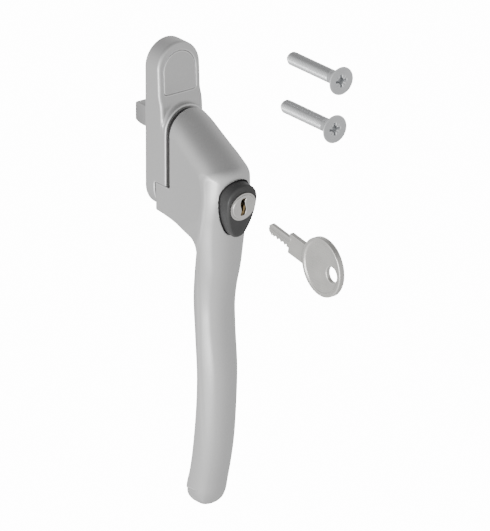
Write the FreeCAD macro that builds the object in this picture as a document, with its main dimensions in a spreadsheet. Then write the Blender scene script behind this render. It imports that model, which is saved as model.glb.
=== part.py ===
import FreeCAD, Part

# Lockable window handle: a slim base with a square spindle, a cranked lever that turns on it,
# a push-to-lock button round a key cylinder, a key, a screw cap and two fixing screws.
#
# Frame: millimetres, +Z up, +X right. The wall side is +Y and the front is -Y, so a "depth"
# below is a distance in front of the base's rear plane, Y = -depth.
# The origin is where the spindle's axis meets that rear plane.
#
# The lock sits on an axis of its own, tilted down towards the front. A "reach" is a distance
# along that axis, outwards from a point just behind the lever's arched front, and a "rise" is
# square to it. Cutting tools run 1 mm past what they cut.

import math
import os
import re

import Sketcher
from FreeCAD import Placement, Rotation, Vector

DIMENSIONS = {
    # base
    "fixing_pitch": 43,
    "plate_radius": 8.9,
    "flange_depth": 5.0,
    "tongue_depth": 7.7,
    "tongue_crest": 9.3,
    "tongue_ramp": 12.4,
    "block_depth": 11.4,
    "block_foot": 20.85,
    "hub_bore": 7.12,
    "rear_recess_radius": 7.7,
    "rear_recess_depth": 2.6,
    "screw_hole": 2.7,
    "screw_seat": 5.2,
    "seat_drop": 2.5,
    "head_notch": 5.5,
    # screw cap
    "cap_width": 13.5,
    "cap_low": 12.5,
    "cap_high": 27.2,
    "cap_rear": 6.4,
    "cap_front": 7.9,
    "cap_gap": 0.15,
    "cap_corner": 1.2,
    "clip_low": 13.2,
    "clip_thick": 1.3,
    "clip_half_width": 3.0,
    "clip_depth": 3.3,
    # lever
    "boss_top": 8.4,
    "boss_side": 8.75,
    "lever_rear": 13.3,
    "heel_rear": 5.4,
    "heel_arc": 21.0,
    "tip_half_width": 6.85,
    "tip_bottom": -134.3,
    "hub_radius": 6.6,
    "hub_end": 0.4,
    "groove_radius": 5.9,
    # spindle
    "spindle_side": 7.0,
    "spindle_rear": 13.3,
    "nose_length": 1.2,
    "nose_side": 6.2,
    "spindle_front": 17.0,
    "socket_gap": 0.03,
    "pin_radius": 1.0,
    "pin_depth": 8.6,
    "pin_half_length": 6.3,
    # rings on the hub
    "sleeve_rear": 7.0,
    "running_gap": 0.05,
    "washer_outer": 7.6,
    "ring_outer": 7.5,
    "circlip_rear": 0.8,
    "circlip_front": 1.6,
    "thrust_front": 2.55,
    "circlip_mouth": 4.4,
    # detent
    "ball_radius": 1.5,
    "ball_depth": 5.0,
    "ball_height": 7.45,
    "dimple_height": 7.2,
    "ball_bore": 1.6,
    "ball_bore_top": 12.0,
    "detent_wire": 0.22,
    "detent_coil": 1.1,
    "detent_pitch": 0.8,
    # lock axis
    "lock_tilt": 10,
    "face_depth": 38.4,
    "face_height": -17.5,
    "button_top": 6.2,
    "button_rise": 1.6,
    "button_side": 26.0,
    "button_tip": 3.6,
    "button_proud": 4.8,
    "button_rear": 5.4,
    "pocket_gap": 0.3,
    "pocket_rear": 9.8,
    "barrel_outer": 5.25,
    "barrel_inner": 4.56,
    "barrel_rear": 14.0,
    "barrel_wall": 12.2,
    "barrel_proud": 4.95,
    "lever_bore": 5.7,
    "lever_bore_rear": 23.6,
    "plug_radius": 4.5,
    "plug_proud": 5.2,
    "plug_rear": 12.0,
    "tail_radius": 1.5,
    "tail_rear": 16.4,
    "keyway_half_height": 3.4,
    "keyway_near": 0.95,
    "keyway_far": 1.5,
    "keyway_rear": 7.4,
    "plunger_radius": 2.1,
    "plunger_tip": 26.2,
    "cup_outer": 3.8,
    "cup_inner": 3.4,
    "cup_floor": 18.2,
    "cup_wall": 1.0,
    "bush_radius": 3.4,
    "bush_rear": 25.6,
    "bush_bore": 2.15,
    "bush_seat_rear": 28.6,
    "hole_radius": 2.6,
    "hole_rear": 32.0,
    "return_wire": 0.28,
    "return_coil": 4.85,
    "return_pitch": 1.8,
    "set_screw_radius": 0.9,
    "set_screw_back": 2.0,
    "set_screw_drop": 10.5,
    "set_screw_hole_drop": 14.0,
    # plug fittings
    "plug_clip_radius": 2.8,
    "plug_clip_front": 0.1,
    "plug_clip_rear": 0.65,
    "cam_half_width": 2.2,
    "cam_half_height": 2.4,
    "cam_front": 0.8,
    "cam_rear": 2.0,
    # wafers
    "wafer_count": 5,
    "wafer_pitch": 2.0,
    "wafer_thick": 0.6,
    "wafer_first": 3.2,
    "wafer_half_width": 2.3,
    "wafer_half_height": 3.55,
    "window_half_width": 1.0,
    "window_half_height": 2.65,
    "slot_gap": 0.05,
    "wafer_spring_across": 3.1,
    "wafer_spring_radius": 0.3,
    "wafer_spring_bore": 0.4,
    # key
    "key_thick": 1.7,
    "blade_tip": 20.0,
    "blade_half_height": 2.3,
    "notch_count": 4,
    "notch_start": 1.8,
    "notch_end": 1.7,
    "deep_notch": 1.1,
    "shallow_notch": 0.7,
    "shoulder_start": 31.5,
    "shoulder_half_height": 3.8,
    "bow_centre": 49.7,
    "bow_radius": 10.5,
    "bow_thick": 2.2,
    "bow_rim": 1.3,
    "rim_height": 0.3,
    "ring_hole_radius": 2.8,
    "ring_hole_offset": 5.6,
    # loose fixing screws
    "thread_radius": 2.45,
    "head_radius": 4.95,
    "head_cone": 2.45,
    "head_rim": 0.3,
    "screw_length": 28.0,
    "screw_point": 3.0,
    "cross_width": 1.1,
    "cross_span": 4.6,
    "cross_depth": 1.8,
    "first_screw_depth": 97.0,
    "first_screw_height": 43.8,
    "second_screw_depth": 93.6,
    "second_screw_height": 25.5,
}

doc = FreeCAD.newDocument("Handle")
sheet = doc.addObject("Spreadsheet::Sheet", "Dims")
for row, (alias, amount) in enumerate(DIMENSIONS.items(), start=1):
    sheet.set(f"A{row}", alias)
    sheet.set(f"B{row}", str(amount))
    sheet.setAlias(f"B{row}", alias)
doc.recompute()

NODES = []
WORD = re.compile(r"[A-Za-z_]\w*")
FACES_FRONT = Rotation(Vector(1, 0, 0), 90)
FACES_RIGHT = Rotation(Vector(0, 1, 0), 90)


def formula(text):
    """Point every alias in a formula at its cell."""
    return WORD.sub(lambda word: f"Dims.{word[0]}" if word[0] in DIMENSIONS else word[0], str(text))


def size(text):
    """The number that a formula of aliases gives now."""
    return float(sheet.evalExpression(formula(text)))


def bind(thing, **formulas):
    """Tie properties of an object to formulas; Base_x stands for Placement.Base.x."""
    for name, text in formulas.items():
        thing.setExpression(name.replace("Base_", "Placement.Base."), formula(text))
    return thing


def node(name, thing):
    """Name a finished sub-part."""
    thing.Label = name
    NODES.append(thing)
    return thing


# ---- primitives in the handle's own frame -------------------------------------------------


def front_rod(name, radius, rear, front, across="0", height="0"):
    """A cylinder that runs forward from one depth to another."""
    rod = doc.addObject("Part::Cylinder", name)
    rod.Placement = Placement(Vector(), FACES_FRONT)
    return bind(rod, Radius=radius, Height=f"({front}) - ({rear})",
                Base_x=across, Base_y=f"-({rear})", Base_z=height)


def front_cone(name, rear_radius, front_radius, rear, front, across="0", height="0"):
    """A cone that runs forward from one depth to another."""
    cone = doc.addObject("Part::Cone", name)
    cone.Placement = Placement(Vector(), FACES_FRONT)
    return bind(cone, Radius1=rear_radius, Radius2=front_radius, Height=f"({front}) - ({rear})",
                Base_x=across, Base_y=f"-({rear})", Base_z=height)


def plain_box(name, left, right, rear, front, low, high):
    """A box between two sides, two depths and two heights."""
    box = doc.addObject("Part::Box", name)
    return bind(box, Length=f"({right}) - ({left})", Width=f"({front}) - ({rear})",
                Height=f"({high}) - ({low})", Base_x=left, Base_y=f"-({front})", Base_z=low)


# ---- primitives on the lock's axis --------------------------------------------------------


def on_lock_axis(thing, across="0", rise="0", reach="0"):
    """Stand an object on the lock's axis, its own Z outwards and its own Y up the face."""
    thing.Placement = Placement(Vector(), Rotation(Vector(1, 0, 0), 90 + size("lock_tilt")))
    return bind(
        thing,
        Base_x=across,
        Base_y=f"-face_depth - ({reach}) * cos(lock_tilt) - ({rise}) * sin(lock_tilt)",
        Base_z=f"face_height - ({reach}) * sin(lock_tilt) + ({rise}) * cos(lock_tilt)")


def lock_rod(name, radius, inner, outer, across="0", rise="0"):
    """A cylinder along the lock's axis from one reach to another."""
    rod = doc.addObject("Part::Cylinder", name)
    bind(rod, Radius=radius, Height=f"({outer}) - ({inner})")
    return on_lock_axis(rod, across, rise, inner)


def lock_box(name, left, right, low, high, inner, outer):
    """A box square to the lock's axis."""
    box = doc.addObject("Part::Box", name)
    bind(box, Length=f"({right}) - ({left})", Width=f"({high}) - ({low})",
         Height=f"({outer}) - ({inner})")
    return on_lock_axis(box, left, low, inner)


# ---- booleans -----------------------------------------------------------------------------


def joined(name, *things):
    """One object made of several that overlap."""
    fuse = doc.addObject("Part::MultiFuse", name)
    fuse.Shapes = list(things)
    fuse.Refine = True
    return fuse


def common(name, *things):
    """What several objects share."""
    shared = doc.addObject("Part::MultiCommon", name)
    shared.Shapes = list(things)
    return shared


def grouped(name, things):
    """Several separate solids that share a node."""
    group = doc.addObject("Part::Compound", name)
    group.Links = list(things)
    return group


def cut(name, base, *tools):
    """A base with one or more tools taken out of it."""
    result = doc.addObject("Part::Cut", name)
    result.Base = base
    result.Tool = tools[0] if len(tools) == 1 else grouped(f"{name}_tools", tools)
    return result


# ---- sketches and bodies ------------------------------------------------------------------


def sketch_on(body, name, role, offset="0"):
    """A sketch on one of its body's origin planes, moved out along the plane's normal."""
    sketch = body.newObject("Sketcher::SketchObject", name)
    plane = next(item for item in body.Origin.OriginFeatures if item.Role == role)
    sketch.AttachmentSupport = [(plane, "")]
    sketch.MapMode = "FlatFace"
    sketch.setExpression(".AttachmentOffset.Base.z", formula(offset))
    return sketch


def trace(sketch, *stretches):
    """Draw an outline: two points are a line, three an arc, more a smooth curve."""
    for stretch in stretches:
        points = [Vector(*point) for point in stretch]
        if len(points) == 2:
            edge = Part.LineSegment(*points)
        elif len(points) == 3:
            edge = Part.Arc(*points)
        else:
            edge = Part.BSplineCurve()
            edge.interpolate(points)
        sketch.addGeometry(edge, False)
    return sketch


def ring(sketch, radius, height="0"):
    """A circle on the sketch's vertical axis, held by constraints."""
    index = sketch.addGeometry(Part.Circle(Vector(0, size(height), 0), Vector(0, 0, 1), size(radius)))
    sketch.addConstraint(Sketcher.Constraint("PointOnObject", index, 3, -2))
    held = sketch.addConstraint(Sketcher.Constraint("Radius", index, size(radius)))
    sketch.setExpression(f"Constraints[{held}]", formula(radius))
    if size(height) == 0:
        sketch.addConstraint(Sketcher.Constraint("PointOnObject", index, 3, -1))
    else:
        up = sketch.addConstraint(Sketcher.Constraint("DistanceY", -1, 1, index, 3, size(height)))
        sketch.setExpression(f"Constraints[{up}]", formula(height))
    return index


def pad(body, sketch, length, both_ways=False):
    """Pad a sketch along its normal, or half of it each way."""
    feature = body.newObject("PartDesign::Pad", f"{sketch.Name}_pad")
    feature.Profile = sketch
    feature.Midplane = both_ways
    return bind(feature, Length=length)


def pocket(body, sketch, length, forward=False):
    """Cut a sketch away from its plane, backwards along its normal unless told otherwise."""
    feature = body.newObject("PartDesign::Pocket", f"{sketch.Name}_pocket")
    feature.Profile = sketch
    feature.Reversed = forward
    return bind(feature, Length=length)


def upright_slot(half_width, low_centre, high_centre):
    """The outline of a slot that stands upright, with round ends."""
    return (
        [(-half_width, high_centre), (0, high_centre + half_width), (half_width, high_centre)],
        [(half_width, high_centre), (half_width, low_centre)],
        [(half_width, low_centre), (0, low_centre - half_width), (-half_width, low_centre)],
        [(-half_width, low_centre), (-half_width, high_centre)])


# ---- base ---------------------------------------------------------------------------------


def block_outline():
    """The thick part of the base: round about the spindle above, hollow to the heel below."""
    side = size("plate_radius")
    foot = size("block_foot")
    low = -math.sqrt(foot ** 2 - side ** 2)
    return (
        [(-side, 0), (0, side), (side, 0)],
        [(side, 0), (side, low)],
        [(side, low), (0, -foot), (-side, low)],
        [(-side, low), (-side, 0)])


def cap_outline(margin):
    """The cap's D: round at the top, straight at the bottom with small corner arcs."""
    side = size("cap_width") / 2 + margin
    corner = size("cap_corner")
    low = size("cap_low") - margin
    centre = size("cap_high") - size("cap_width") / 2
    near = corner * (1 - math.sqrt(0.5))
    return (
        [(-side, centre), (0, centre + side), (side, centre)],
        [(side, centre), (side, low + corner)],
        [(side, low + corner), (side - near, low + near), (side - corner, low)],
        [(side - corner, low), (corner - side, low)],
        [(corner - side, low), (near - side, low + near), (-side, low + corner)],
        [(-side, low + corner), (-side, centre)])


def make_base_plate():
    """The base: a flat flange, a tongue above, a thick block round the spindle, and its bores."""
    half_pitch = size("fixing_pitch") / 2
    body = doc.addObject("PartDesign::Body", "base_blank")
    flange = trace(sketch_on(body, "flange", "XZ_Plane"),
                   *upright_slot(size("plate_radius"), -half_pitch, half_pitch))
    pad(body, flange, "flange_depth")
    tongue = trace(sketch_on(body, "tongue", "XZ_Plane"),
                   *upright_slot(size("plate_radius"), 0, half_pitch))
    pad(body, tongue, "tongue_depth")
    ramp = trace(sketch_on(body, "ramp", "YZ_Plane"),
                 [(-size("tongue_depth"), size("tongue_ramp")), (-size("tongue_crest"), size("plate_radius"))],
                 [(-size("tongue_crest"), size("plate_radius")), (-size("tongue_crest"), 0)],
                 [(-size("tongue_crest"), 0), (-size("flange_depth"), 0)],
                 [(-size("flange_depth"), 0), (-size("flange_depth"), size("tongue_ramp"))],
                 [(-size("flange_depth"), size("tongue_ramp")), (-size("tongue_depth"), size("tongue_ramp"))])
    pad(body, ramp, "2 * plate_radius", both_ways=True)
    block = trace(sketch_on(body, "block", "XZ_Plane"), *block_outline())
    pad(body, block, "block_depth")
    hub_bore = sketch_on(body, "hub_bore_circle", "XZ_Plane")
    ring(hub_bore, "hub_bore")
    pocket(body, hub_bore, "block_depth", forward=True)
    rear_recess = sketch_on(body, "rear_recess_circle", "XZ_Plane")
    ring(rear_recess, "rear_recess_radius")
    pocket(body, rear_recess, "rear_recess_depth", forward=True)
    cap_recess = trace(sketch_on(body, "cap_recess", "XZ_Plane", "cap_rear"),
                       *cap_outline(size("cap_gap")))
    pocket(body, cap_recess, "block_depth", forward=True)

    tools = []
    for end, seat_front, height in (("upper", "cap_rear", "fixing_pitch / 2"),
                                    ("lower", "flange_depth", "-fixing_pitch / 2")):
        tools.append(front_rod(f"{end}_hole", "screw_hole", "-1", "block_depth + 1", height=height))
        tools.append(front_cone(f"{end}_seat", "screw_hole", "screw_seat",
                                f"{seat_front} - seat_drop", seat_front, height=height))
    tools.append(front_rod("head_notch_rod", "head_notch", "flange_depth", "block_depth + 1",
                           height="-fixing_pitch / 2"))
    tools.append(plain_box("clip_slot", "-clip_half_width - cap_gap", "clip_half_width + cap_gap",
                           "clip_depth - 0.4", "cap_rear + 0.1",
                           "clip_low - cap_gap", "clip_low + clip_thick + cap_gap"))
    ball_bore = doc.addObject("Part::Cylinder", "ball_bore_rod")
    bind(ball_bore, Radius="ball_bore", Height="ball_bore_top - groove_radius",
         Base_y="-ball_depth", Base_z="groove_radius")
    tools.append(ball_bore)
    tools.append(lock_rod("plunger_hole", "hole_radius", "-hole_rear", "-bush_rear"))
    return node("base_plate", cut("base_plate", body, joined("base_tools", *tools)))


def make_hub_sleeve():
    """The plastic bush between the base's bore and the lever's hub."""
    outer = front_rod("sleeve_outer", "hub_bore", "sleeve_rear", "block_depth")
    inner = front_rod("sleeve_inner", "hub_radius + running_gap", "sleeve_rear - 1", "block_depth + 1")
    return node("hub_sleeve", cut("hub_sleeve", outer, inner))


def make_screw_cap():
    """The D-shaped cover, with one clip leg that grips the base."""
    body = doc.addObject("PartDesign::Body", "cap_plate")
    face = trace(sketch_on(body, "cap_face", "XZ_Plane", "cap_rear + cap_gap"), *cap_outline(0))
    pad(body, face, "cap_front - cap_rear - cap_gap")
    leg = plain_box("cap_leg", "-clip_half_width", "clip_half_width", "clip_depth",
                    "cap_rear + cap_gap + 0.1", "clip_low", "clip_low + clip_thick")
    return node("screw_cap", joined("screw_cap", body, leg))


def make_fixing_screws():
    """Two countersunk screws lying loose in front of the handle, heads to the front."""
    screws = []
    for name in ("first_screw", "second_screw"):
        depth = f"{name}_depth"
        height = f"{name}_height"
        taper = f"{depth} - head_rim - head_cone"
        point = f"{depth} - screw_length"
        solid = joined(
            f"{name}_solid",
            front_rod(f"{name}_rim", "head_radius", f"{depth} - head_rim", depth, height=height),
            front_cone(f"{name}_head", "thread_radius", "head_radius", taper,
                       f"{depth} - head_rim", height=height),
            front_rod(f"{name}_shank", "thread_radius", f"{point} + screw_point", taper, height=height),
            front_cone(f"{name}_point", "0.4", "thread_radius", point,
                       f"{point} + screw_point", height=height))
        cross = joined(
            f"{name}_cross",
            plain_box(f"{name}_flat_slot", "-cross_span / 2", "cross_span / 2", f"{depth} - cross_depth",
                      f"{depth} + 1", f"{height} - cross_width / 2", f"{height} + cross_width / 2"),
            plain_box(f"{name}_tall_slot", "-cross_width / 2", "cross_width / 2", f"{depth} - cross_depth",
                      f"{depth} + 1", f"{height} - cross_span / 2", f"{height} + cross_span / 2"))
        screws.append(cut(name, solid, cross))
    return node("fixing_screws", grouped("fixing_screws", screws))


def make_coil(name, coil, wire, pitch, length):
    """A coil spring that stands along its own Z."""
    turns = doc.addObject("Part::Helix", f"{name}_turns")
    bind(turns, Radius=coil, Pitch=pitch, Height=f"({length}) - 2 * {wire}")
    section = doc.addObject("Part::Circle", f"{name}_section")
    section.Placement = Placement(Vector(), FACES_FRONT)
    bind(section, Radius=wire, Base_x=coil)
    spring = doc.addObject("Part::Sweep", name)
    spring.Sections = [section]
    spring.Spine = (turns, ["Edge1"])
    spring.Solid = True
    spring.Frenet = True
    return spring


def make_detent():
    """The sprung ball that clicks into the dimples in the hub's groove."""
    ball = doc.addObject("Part::Sphere", "detent_ball")
    bind(ball, Radius="ball_radius", Base_y="-ball_depth", Base_z="ball_height")
    node("detent_ball", ball)
    spring = make_coil("detent_spring", "detent_coil", "detent_wire", "detent_pitch",
                       "ball_bore_top - ball_height - ball_radius")
    bind(spring, Base_y="-ball_depth", Base_z="ball_height + ball_radius + detent_wire")
    node("detent_spring", spring)


# ---- lever --------------------------------------------------------------------------------


def crown_section(body, depth, top, side):
    """One upright section of the lever's head: a round top over straight sides."""
    low = size("tip_bottom") - 1
    shoulder = top - side
    return trace(sketch_on(body, f"crown_{round(depth)}", "XZ_Plane", depth),
                 [(-side, shoulder), (0, top), (side, shoulder)],
                 [(side, shoulder), (side, low)],
                 [(side, low), (-side, low)],
                 [(-side, low), (-side, shoulder)])


def arched_section(body, height, front, side, arch):
    """One level section of the lever: flat sides and an arched front."""
    edge = front - arch + math.sqrt(arch ** 2 - side ** 2)
    return trace(sketch_on(body, f"arch_{abs(round(height))}", "XY_Plane", height),
                 [(-side, -edge), (0, -front), (side, -edge)],
                 [(side, -edge), (side, 0)],
                 [(side, 0), (-side, 0)],
                 [(-side, 0), (-side, -edge)])


def lofted(name, sections):
    """Loft a body's sections, the first one to the last, straight between them."""
    loft = sections[0].getParent().newObject("PartDesign::AdditiveLoft", name)
    loft.Profile = sections[0]
    loft.Sections = sections[1:]
    loft.Ruled = True


def make_lever_blank():
    """The lever's casting before its bores: its crown, arched front, side view and tip, shared."""
    boss = size("boss_top")
    boss_side = size("boss_side")
    rear = size("lever_rear")
    heel = size("heel_rear")
    bottom = size("tip_bottom")
    tip_side = size("tip_half_width")

    # The crown line: depth, height of the round top, half-width there.
    crown_line = ((heel, boss, boss_side), (rear, boss, boss_side), (17, 6.9, 8.8), (21, 4.7, 8.9),
                  (26, 1.9, 9.05), (30.5, -0.5, 9.2), (36, -4.0, 9.5), (43, -8.2, 9.8))
    crowned = doc.addObject("PartDesign::Body", "crowned")
    lofted("crown_loft", [crown_section(crowned, *place) for place in crown_line])

    # The front line: height, depth in the middle, half-width and radius of the arch there.
    front_line = ((12, 42.0, 9.6, 12), (-7.1, 40.7, 9.6, 12), (-18, 40.0, 9.7, 12), (-28, 37.9, 9.3, 11.5),
                  (-36, 36.9, 8.9, 10.8), (-44, 36.0, 8.3, 9.8), (-51.5, 34.3, 7.8, 9), (-58, 33.5, 7.5, 8.6),
                  (-66, 33.7, 7.5, 8.6), (-82, 35.0, 7.55, 8.6), (-94, 34.6, 7.55, 8.6),
                  (-109, 33.2, 7.4, 8.5), (-124, 29.9, 7.15, 8.5), (-136, 26.1, 7.0, 8.5))
    arched = doc.addObject("PartDesign::Body", "arched")
    lofted("arch_loft", [arched_section(arched, *place) for place in front_line])

    # The side view, as (-depth, height), open at the front where the arch ends it.
    heel_foot = (-heel, -29.5)
    heel_curve = (heel_foot, (-11.4, -30.1), (-16.4, -31.0), (-21.5, -32.5), (-25.6, -34.2), (-27.7, -37.2))
    rear_curve = (heel_curve[-1], (-26.0, -46), (-24.6, -56), (-25.3, -68), (-26.4, -85), (-24.9, -104),
                  (-21.9, -120), (-19.9, -127))
    nose = (-22.0, bottom)
    side_view = doc.addObject("PartDesign::Body", "side_view")
    outline = trace(sketch_on(side_view, "side_outline", "YZ_Plane"),
                    [(-heel, boss + 1), heel_foot],
                    heel_curve,
                    rear_curve,
                    [rear_curve[-1], (-20.1, -131.6), nose],
                    [nose, (-25.2, -133.0), (-27.6, -129)],
                    [(-27.6, -129), (-46, -120)],
                    [(-46, -120), (-46, boss + 1)],
                    [(-46, boss + 1), (-heel, boss + 1)])
    pad(side_view, outline, "4 * boss_side", both_ways=True)

    tip_view = doc.addObject("PartDesign::Body", "tip_view")
    tip_start = bottom + tip_side
    wide = 2 * boss
    outline = trace(sketch_on(tip_view, "tip_outline", "XZ_Plane"),
                    [(wide, wide), (wide, tip_start / 2)],
                    [(wide, tip_start / 2), (tip_side, tip_start)],
                    [(tip_side, tip_start), (0, bottom), (-tip_side, tip_start)],
                    [(-tip_side, tip_start), (-wide, tip_start / 2)],
                    [(-wide, tip_start / 2), (-wide, wide)],
                    [(-wide, wide), (wide, wide)])
    pad(tip_view, outline, "face_depth + 8")
    return common("lever_blank", crowned, arched, side_view, tip_view)


def egg_outline(margin):
    """The button's egg: a round top, two long side arcs and a small round tip."""
    top = size("button_top") + margin
    side = size("button_side") + margin
    tip = size("button_tip") + margin
    centre = size("button_rise")
    inset = size("button_side") - size("button_top")
    drop = math.sqrt((size("button_side") - size("button_tip")) ** 2 - inset ** 2)
    lean = math.atan2(drop, inset)
    end_x = side * math.cos(lean) - inset
    end_y = centre - side * math.sin(lean)
    mid_x = side * math.cos(lean / 2) - inset
    mid_y = centre - side * math.sin(lean / 2)
    return (
        [(-top, centre), (0, centre + top), (top, centre)],
        [(top, centre), (mid_x, mid_y), (end_x, end_y)],
        [(end_x, end_y), (0, centre - drop - tip), (-end_x, end_y)],
        [(-end_x, end_y), (-mid_x, mid_y), (-top, centre)])


def egg_body(name, margin, inner, outer):
    """An egg-shaped prism on the lock's axis."""
    body = doc.addObject("PartDesign::Body", name)
    face = trace(sketch_on(body, f"{name}_egg", "XY_Plane", inner), *egg_outline(margin))
    pad(body, face, f"({outer}) - ({inner})")
    return on_lock_axis(body)


def make_lever():
    """The lever with its hub, the spindle's socket, the lock's pocket and bores."""
    hub = front_rod("hub", "hub_radius", "hub_end", "lever_rear + 1")
    heel_clearance = front_rod("heel_clearance", "heel_arc", "-1", "lever_rear")
    lever_solid = joined("lever_solid", cut("lever_over_base", make_lever_blank(), heel_clearance), hub)
    half_socket = "(spindle_side / 2 + socket_gap)"
    groove = cut("ball_groove",
                 front_rod("groove_outer", "hub_radius + 1", "ball_depth - ball_bore", "ball_depth + ball_bore"),
                 front_rod("groove_inner", "groove_radius", "0", "lever_rear"))
    clip_groove = cut("clip_groove",
                      front_rod("clip_groove_outer", "hub_radius + 1", "circlip_rear", "circlip_front"),
                      front_rod("clip_groove_inner", "groove_radius", "0", "lever_rear"))
    tools = [
        plain_box("spindle_socket", f"-{half_socket}", half_socket, "-1", "spindle_front + socket_gap",
                  f"-{half_socket}", half_socket),
        egg_body("button_pocket", size("pocket_gap"), "-pocket_rear", "button_proud + 1"),
        lock_rod("barrel_bore", "lever_bore", "-lever_bore_rear", "0"),
        lock_rod("bush_seat", "bush_radius", "-bush_seat_rear", "-lever_bore_rear + 1"),
        groove,
        clip_groove,
        side_pin("pin_hole", "pin_radius", "hub_radius + 1"),
    ]
    for turn in (0, 90, -90):
        dimple = doc.addObject("Part::Sphere", f"dimple_{turn % 360}")
        bind(dimple, Radius="ball_radius", Base_x=f"dimple_height * sin({turn})",
             Base_y="-ball_depth", Base_z=f"dimple_height * cos({turn})")
        tools.append(dimple)
    return node("lever", cut("lever", lever_solid, *tools))


def side_pin(name, radius, half_length):
    """A pin that runs across, through the hub and the spindle."""
    pin = doc.addObject("Part::Cylinder", name)
    pin.Placement = Placement(Vector(), FACES_RIGHT)
    return bind(pin, Radius=radius, Height=f"2 * ({half_length})",
                Base_x=f"-({half_length})", Base_y="-pin_depth")


def make_spindle():
    """The square spindle, tapered at its rear end, and the pin that holds it."""
    half = "spindle_side / 2"
    bar = plain_box("spindle_bar", f"-{half}", half, "nose_length - spindle_rear", "spindle_front",
                    f"-{half}", half)
    nose = doc.addObject("Part::Wedge", "spindle_nose")
    bind(nose, Xmin=f"-{half}", Xmax=half, Zmin=f"-{half}", Zmax=half,
         Ymin="spindle_rear - nose_length", Ymax="spindle_rear",
         X2min="-nose_side / 2", X2max="nose_side / 2", Z2min="-nose_side / 2", Z2max="nose_side / 2")
    node("spindle", cut("spindle", joined("spindle_whole", bar, nose),
                        side_pin("spindle_pin_hole", "pin_radius", "spindle_side")))
    node("spindle_pin", side_pin("spindle_pin", "pin_radius", "pin_half_length"))


def make_hub_rings():
    """The rings on the hub: a washer in front of the base, a washer and a circlip behind it."""
    node("bearing_washer", cut(
        "bearing_washer",
        front_rod("bearing_outer", "washer_outer", "block_depth + running_gap", "lever_rear"),
        front_rod("bearing_inner", "hub_radius", "0", "lever_rear + 1")))
    node("thrust_washer", cut(
        "thrust_washer",
        front_rod("thrust_outer", "ring_outer", "circlip_front", "thrust_front"),
        front_rod("thrust_inner", "hub_radius", "0", "lever_rear + 1")))
    node("circlip", cut(
        "circlip",
        front_rod("circlip_outer", "ring_outer", "circlip_rear", "circlip_front"),
        front_rod("circlip_inner", "groove_radius", "0", "lever_rear + 1"),
        plain_box("circlip_gap", "-circlip_mouth / 2", "circlip_mouth / 2", "0", "lever_rear", "-9", "0")))


def make_return_spring():
    """The spring that pushes the button out, and the bush that guides its plunger."""
    node("plunger_bush", cut(
        "plunger_bush",
        lock_rod("bush_outer", "bush_radius", "-bush_rear", "-lever_bore_rear"),
        lock_rod("bush_inner", "bush_bore", "-bush_rear - 1", "-lever_bore_rear + 1")))
    spring = make_coil("return_spring", "return_coil", "return_wire", "return_pitch",
                       "lever_bore_rear - barrel_rear - 0.1")
    node("return_spring", on_lock_axis(spring, reach="return_wire - lever_bore_rear"))


# ---- button and lock ----------------------------------------------------------------------


def set_screw_rod(name, drop):
    """A rod square to the lock's axis, from the barrel down to a drop below the axis."""
    rod = doc.addObject("Part::Cylinder", name)
    rod.Placement = Placement(Vector(), Rotation(Vector(1, 0, 0), size("lock_tilt")))
    return bind(rod, Radius="set_screw_radius", Height=f"{drop} - barrel_outer",
                Base_y=f"-face_depth + set_screw_back * cos(lock_tilt) + {drop} * sin(lock_tilt)",
                Base_z=f"face_height + set_screw_back * sin(lock_tilt) - {drop} * cos(lock_tilt)")


def make_button():
    """The egg-shaped button, the lock's barrel in it, the set screw and the plunger behind."""
    node("barrel_screw", set_screw_rod("barrel_screw", "set_screw_drop"))
    node("push_button", cut("push_button", egg_body("button_egg", 0, "-button_rear", "button_proud"),
                            lock_rod("button_bore", "barrel_outer", "-button_rear - 1", "button_proud + 1"),
                            set_screw_rod("set_screw_hole", "set_screw_hole_drop")))
    node("lock_barrel", cut(
        "lock_barrel",
        lock_rod("barrel_body", "barrel_outer", "-barrel_rear", "barrel_proud"),
        lock_rod("barrel_space", "barrel_inner", "-barrel_wall", "barrel_proud + 1"),
        lock_rod("tail_hole", "tail_radius + running_gap", "-barrel_rear - 1", "-barrel_wall + 1")))
    cup = cut("plunger_cup",
              lock_rod("cup_body", "cup_outer", "-cup_floor", "-barrel_rear"),
              lock_rod("cup_space", "cup_inner", "-cup_floor + cup_wall", "-barrel_rear + 1"))
    rod = lock_rod("plunger_rod", "plunger_radius", "-plunger_tip", "-cup_floor + cup_wall / 2")
    node("locking_plunger", joined("locking_plunger", cup, rod))


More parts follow.
